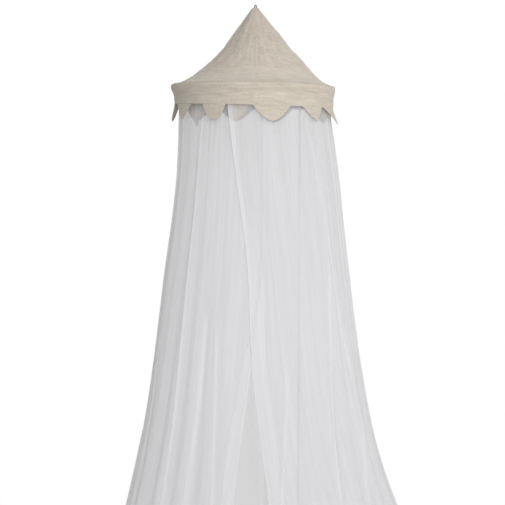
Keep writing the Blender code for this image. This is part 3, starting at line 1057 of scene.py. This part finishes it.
def cordTree(material):
    plan, turn = loopPlan, math.radians(loopPlan["turn"])
    tree, wires = geometryTree("laid cord", plan["sizes"])
    shape = wires["Geometry"]
    path = shape.node("GeometryNodeResampleCurve", None, {"Curve": shape, "Count": wires["Steps"]})
    tangent = shape.node("GeometryNodeInputTangent")
    share = shape.node("GeometryNodeSplineParameter")
    facing = (math.sin(turn), math.cos(turn), 0.0)
    sideways = shape.vector("CROSS_PRODUCT", tangent, facing)
    sockets = {"Resolution": 7, "Radius": wires["Strand"]}
    ring = shape.node("GeometryNodeCurvePrimitiveCircle", None, sockets)
    join = tree.nodes.new("GeometryNodeJoinGeometry")
    for strand in range(plan["strands"]):
        phase = share * wires["Turns"] * (2 * math.pi) + strand * 2 * math.pi / plan["strands"]
        flat = shape.vector("MULTIPLY", sideways, phase.math("COSINE", phase))
        deep = shape.vector("MULTIPLY", facing, phase.math("SINE", phase))
        offset = shape.vector("MULTIPLY", shape.vector("ADD", flat, deep), wires["Lay"])
        moved = shape.node("GeometryNodeSetPosition", None, {"Geometry": path, "Offset": offset})
        tube = shape.node("GeometryNodeCurveToMesh", None, {"Curve": moved, "Profile Curve": ring})
        tree.links.new(tube.socket, join.inputs[0])
    closeTree(tree, Wire(tree, join.outputs[0]), material)
    return tree


def cordMaterial():
    material, shader, start = newMaterial("twisted cord", {"Roughness": 0.85})
    fibres = solidNoise(start, 900.0)
    feedColour(shader, fibres, loopPlan)
    feedBump(shader, 0.5, 0.0003, fibres)
    return material


def makeLoop(material):
    plan = loopPlan
    right = [(half, -drop) for drop, half in plan["outline"]]
    ends = right + [(-x, z) for x, z in reversed(right[1:-1])]
    curve = bpy.data.curves.new("loop_cord", "CURVE")
    curve.dimensions = "3D"
    curve.resolution_u = 12
    spline = curve.splines.new("BEZIER")
    spline.bezier_points.add(len(ends) - 1)
    turn = math.radians(plan["turn"])
    for point, (x, z) in zip(spline.bezier_points, ends):
        point.co = (x * math.cos(turn), -x * math.sin(turn), z)
        point.handle_left_type = point.handle_right_type = "AUTO"
    spline.use_cyclic_u = True
    loop = runTree(addObject("loop_cord", curve), cordTree(material), plan["sizes"])
    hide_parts("hanging_loop")
    return loop


# stitching

stitchPlan = {
    "sizes": {"Pitch": 0.0042, "Length": 0.003, "Thread": 0.00032, "Seed": 4},
    "netSizes": {"Pitch": 0.0056, "Length": 0.003, "Thread": 0.00028, "Seed": 4},
    "uneven": (0.86, 1.1),  # the shortest and longest stitch, as shares of the length
    # rows and columns of the cloths' grids that carry it, negative ones from the far end
    "bandRows": (6, -4),
    "coneRow": -4,
    "netTop": 2,
    "netColumns": (2, -3),  # from the turned edges
    "cotton": (0.8, 0.74, 0.65),
    "white": (0.9, 0.9, 0.91),
}


def stitchTree(material):
    tree, wires = geometryTree("stitches", stitchPlan["sizes"])
    shape = wires["Geometry"]
    path = shape.node("GeometryNodeMeshToCurve", None, {0: shape})
    sockets = {"Curve": path, "Length": wires["Pitch"]}
    path = shape.node("GeometryNodeResampleCurve", {"mode": "LENGTH"}, sockets)
    tangent = shape.node("GeometryNodeInputTangent")
    turned = shape.node("FunctionNodeAlignRotationToVector", {"axis": "X"}, {"Vector": tangent})
    bead = shape.node("GeometryNodeMeshUVSphere", None, {"Segments": 6, "Rings": 4, "Radius": 0.5})
    shortest, longest = stitchPlan["uneven"]
    sockets = {2: shortest, 3: longest, "Seed": wires["Seed"]}
    uneven = shape.node("FunctionNodeRandomValue", {"data_type": "FLOAT"}, sockets, 1)
    sockets = {"X": wires["Length"] * uneven, "Y": wires["Thread"] * 2, "Z": wires["Thread"] * 2}
    size = shape.node("ShaderNodeCombineXYZ", None, sockets)
    sockets = {"Points": path, "Instance": bead, "Rotation": turned, "Scale": size}
    closeTree(tree, shape.node("GeometryNodeInstanceOnPoints", None, sockets), material)
    return tree


def threadMaterial(name, colour):
    material, shader, start = newMaterial(name, {"Roughness": 0.6, "Sheen Weight": 0.2})
    dark = tuple(0.72 * value for value in colour)
    feedColour(shader, solidNoise(start, 1400.0), {"dark": (*dark, 1), "light": (*colour, 1)})
    return material


def makeStitches(name, lines, tree, sizes):
    # each line is a run of points on the cloth
    points, edges = [], []
    for line in lines:
        points += [tuple(point) for point in line]
        edges += [(i - 1, i) for i in range(len(points) - len(line) + 1, len(points))]
    mesh = bpy.data.meshes.new(name)
    mesh.from_pydata(points, edges, [])
    return runTree(addObject(name, mesh), tree, sizes)


def closed(points, row):
    # one row of a grid as a ring
    return [*points[row], points[row][0]]


# hoop: the CAD ring stays, with the finish of pale moulded plastic

hoopLook = {
    "dark": (0.74, 0.73, 0.69, 1),
    "light": (0.84, 0.83, 0.8, 1),
    "roughness": 0.34,
}


def finishHoop():
    material, shader, start = newMaterial("hoop plastic", {"Specular IOR Level": 0.4})
    cloudy = solidNoise(start, 22.0, 3.0)
    feedColour(shader, cloudy, hoopLook)
    feed(shader, "Roughness", hoopLook["roughness"] + cloudy * 0.2)
    feedBump(shader, 0.2, 0.0002, solidNoise(start, 260.0))
    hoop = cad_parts["hoop"]
    hoop.data.materials.clear()
    hoop.data.materials.append(material)


# the whole canopy

makeCamera()
makeLight()
makeFloor()
muslin = muslinMaterial()
tulle = netMaterial()
print("materials made")

cone, conePoints = makeCone(muslin)
band, bandPoints = makeBand(muslin)
shapes = enumerate(zip(*flapPlan["shapes"].values()), 1)
flaps, flapLines = zip(*(makeFlap(number, *shape, muslin) for number, shape in shapes))
print("muslin made")

net, netPoints = makeNet(tulle)
print("net made")

loop = makeLoop(cordMaterial())
finishHoop()
plan = stitchPlan
cotton = stitchTree(threadMaterial("cotton thread", plan["cotton"]))
white = stitchTree(threadMaterial("white thread", plan["white"]))
bandOut = lifted(bandPoints, clothPlan["muslin"] / 2)
coneOut = lifted(conePoints, clothPlan["muslin"] / 2)
seams = [closed(bandOut, row) for row in plan["bandRows"]] + [closed(coneOut, plan["coneRow"])]
bandStitches = makeStitches("band_stitches", seams, cotton, plan["sizes"])
flapStitches = makeStitches("flap_stitches", flapLines, cotton, plan["sizes"])
turned, hemRow = netPlan["turnedColumns"], netPlan["rows"] - 2
right, left = plan["netColumns"]
sides = slice(plan["netTop"], hemRow)
netLines = [netPoints[sides, turned + right], netPoints[sides, left - turned]]
netLines.append(netPoints[hemRow, turned:-turned])
netStitches = makeStitches("net_stitches", netLines, white, plan["netSizes"])
print("stitches made")

slots = {
    "muslin": [cone, band, *flaps, bandStitches, flapStitches],
    "net": [net, netStitches],
    "cord": [loop],
}
for slotName, pieces in slots.items():
    for piece in pieces:
        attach(piece, "root")
